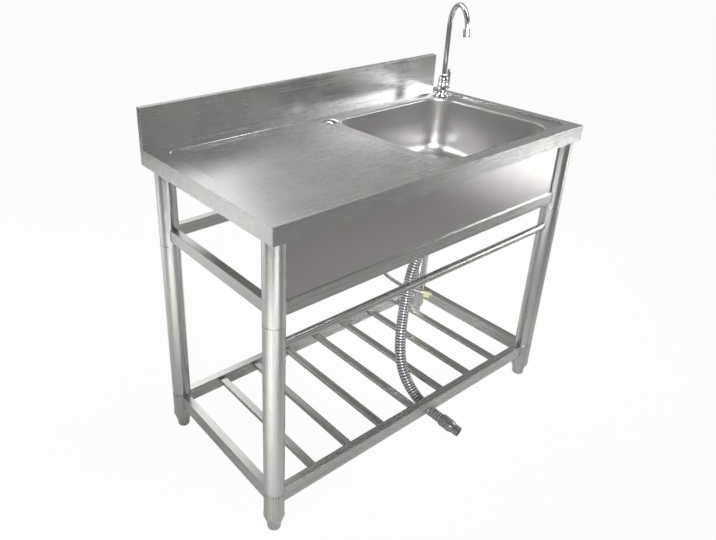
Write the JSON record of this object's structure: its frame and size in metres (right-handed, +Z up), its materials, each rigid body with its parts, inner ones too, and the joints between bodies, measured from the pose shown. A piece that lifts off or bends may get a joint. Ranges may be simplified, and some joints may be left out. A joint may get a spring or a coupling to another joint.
{
  "type": "kitchen sink unit",
  "caption": "Free-standing stainless sink unit with drainboard, pressed bowl, gooseneck tap, round legs on screw feet and a slatted lower shelf.",
  "frame": {"origin": "on the floor in the middle of the unit's width and depth", "axes": "+X to the right, +Y towards the wall behind, +Z up"},
  "size_m": [1, 0.5617, 1.0727],
  "materials": {
    "stainless_sheet": "brushed stainless sheet",
    "stainless_tube": "drawn and polished stainless tube",
    "foot_steel": "satin steel",
    "tap_chrome": "bright chrome plate",
    "screw_steel": "dark steel",
    "washer_steel": "plain zinc-plated steel",
    "strainer_steel": "polished steel",
    "seal_rubber": "black rubber",
    "fitting_brass": "plain brass",
    "drain_plastic": "moulded plastic",
    "hose_plastic": "grey ribbed plastic",
    "hose_braid": "braided steel wire"
  },
  "bodies": {
    "frame": {"worktop": "stainless_sheet", "bowl": "stainless_sheet", "front_panel": "stainless_sheet", "drainboard_stiffener": "stainless_sheet", "mid_rail_front": "stainless_tube", "mid_rail_back": "stainless_tube", "mid_rail_left": "stainless_tube", "mid_rail_right": "stainless_tube", "shelf_rail_front": "stainless_tube", "shelf_rail_back": "stainless_tube", "shelf_rail_left": "stainless_tube", "shelf_rail_right": "stainless_tube", "front_tie_bar": "stainless_tube", "leg_joint_spigots": "stainless_tube", "leg_stubs": "stainless_tube", "shelf_slat_1": "stainless_tube", "shelf_slat_2": "stainless_tube", "shelf_slat_3": "stainless_tube", "shelf_slat_4": "stainless_tube", "shelf_slat_5": "stainless_tube", "shelf_slat_6": "stainless_tube", "shelf_slat_7": "stainless_tube", "lower_leg_front_left": "stainless_tube", "foot_sleeve_front_left": "foot_steel", "lower_leg_front_right": "stainless_tube", "foot_sleeve_front_right": "foot_steel", "lower_leg_back_left": "stainless_tube", "foot_sleeve_back_left": "foot_steel", "lower_leg_back_right": "stainless_tube", "foot_sleeve_back_right": "foot_steel", "tap_flange": "tap_chrome", "tap_body": "tap_chrome", "hole_cap": "tap_chrome", "tap_washer": "washer_steel", "strainer_body": "strainer_steel", "tap_seal": "seal_rubber", "strainer_gasket": "seal_rubber", "tap_cartridge": "fitting_brass", "tap_lock_nut": "fitting_brass", "hole_cap_nut": "fitting_brass", "supply_top_nut": "fitting_brass", "supply_tail_nut": "fitting_brass", "strainer_lock_nut": "drain_plastic", "drain_union_nut": "drain_plastic", "drain_tailpiece": "drain_plastic", "drain_hose": "hose_plastic", "hose_cuff": "hose_plastic", "supply_hose": "hose_braid"},
    "spout": {"spout": "tap_chrome", "spout_collar": "tap_chrome", "aerator": "tap_chrome", "spout_set_screw": "screw_steel"},
    "lever": {"tap_lever": "tap_chrome"},
    "basket": {"strainer_basket": "strainer_steel", "basket_plug_seal": "seal_rubber"},
    "foot_front_left": {"screw_foot_front_left": "foot_steel"},
    "foot_front_right": {"screw_foot_front_right": "foot_steel"},
    "foot_back_left": {"screw_foot_back_left": "foot_steel"},
    "foot_back_right": {"screw_foot_back_right": "foot_steel"}
  },
  "joints": [
    {"name": "spout_swivel", "type": "hinge", "parent": "frame", "child": "spout", "pos_m": [0.446, 0.163, 0.843], "axis": [0, 0, 1], "continuous": true},
    {"name": "lever_turn", "type": "hinge", "parent": "frame", "child": "lever", "pos_m": [0.4653, 0.163, 0.824], "axis": [1, 0, 0], "range_deg": [0, 90]},
    {"name": "basket_lift", "type": "slide", "parent": "frame", "child": "basket", "axis": [0, 0, 1], "range_m": [0, 0.06]},
    {"name": "foot_screw_front_left", "type": "slide", "parent": "frame", "child": "foot_front_left", "axis": [0, 0, -1], "range_m": [0, 0.02]},
    {"name": "foot_screw_front_right", "type": "slide", "parent": "frame", "child": "foot_front_right", "axis": [0, 0, -1], "range_m": [0, 0.02]},
    {"name": "foot_screw_back_left", "type": "slide", "parent": "frame", "child": "foot_back_left", "axis": [0, 0, -1], "range_m": [0, 0.02]},
    {"name": "foot_screw_back_right", "type": "slide", "parent": "frame", "child": "foot_back_right", "axis": [0, 0, -1], "range_m": [0, 0.02]}
  ]
}
